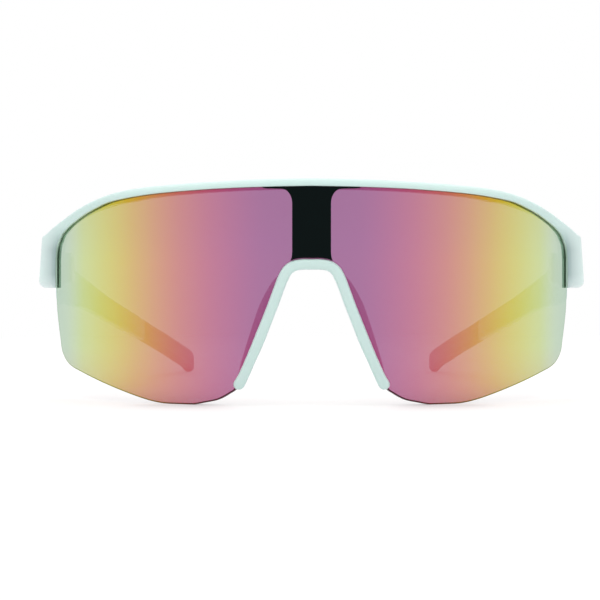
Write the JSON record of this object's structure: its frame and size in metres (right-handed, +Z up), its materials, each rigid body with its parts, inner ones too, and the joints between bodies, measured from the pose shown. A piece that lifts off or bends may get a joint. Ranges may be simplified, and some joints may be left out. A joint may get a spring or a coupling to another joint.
{
  "type": "cycling sunglasses",
  "caption": "Wrap-around cycling sunglasses with a one-piece mirrored shield lens, a wide brow bar and arms that fold inwards on metal hinges.",
  "frame": {"origin": "on the table under the middle of the object's box, arms open", "axes": "+Z up, -Y the way the wearer looks, +X the wearer's left"},
  "size_m": [0.1446, 0.1621, 0.0546],
  "materials": {
    "mint_plastic": "satin moulded plastic",
    "mirror_lens": "polished, with a mirror coat",
    "black_trim": "glossy",
    "pad_rubber": "matt, soft",
    "sleeve_rubber": "matt, grippy",
    "hinge_steel": "fine brushed"
  },
  "bodies": {
    "front": {"front_frame": "mint_plastic", "shield_lens": "mirror_lens", "bridge_strip": "black_trim", "nose_bridge": "mint_plastic", "nose_pad_left": "pad_rubber", "nose_pad_right": "pad_rubber", "hinge_leaf_front_left": "hinge_steel", "hinge_leaf_front_right": "hinge_steel", "hinge_screw_left": "hinge_steel", "hinge_screw_right": "hinge_steel", "front_leaf_rivet_left": "hinge_steel", "front_leaf_rivet_right": "hinge_steel"},
    "temple_left": {"temple_arm_left": "mint_plastic", "temple_tip_left": "sleeve_rubber", "temple_core_left": "hinge_steel", "hinge_leaf_temple_left": "hinge_steel", "temple_leaf_rivet_left": "hinge_steel"},
    "temple_right": {"temple_arm_right": "mint_plastic", "temple_tip_right": "sleeve_rubber", "temple_core_right": "hinge_steel", "hinge_leaf_temple_right": "hinge_steel", "temple_leaf_rivet_right": "hinge_steel"}
  },
  "joints": [
    {"name": "temple_fold_left", "type": "hinge", "parent": "front", "child": "temple_left", "pos_m": [0.06549, -0.03075, 0.03333], "axis": [0, 0, 1], "range_deg": [0, 88]},
    {"name": "temple_fold_right", "type": "hinge", "parent": "front", "child": "temple_right", "pos_m": [-0.06549, -0.03075, 0.03333], "axis": [0, 0, -1], "range_deg": [0, 78]}
  ]
}
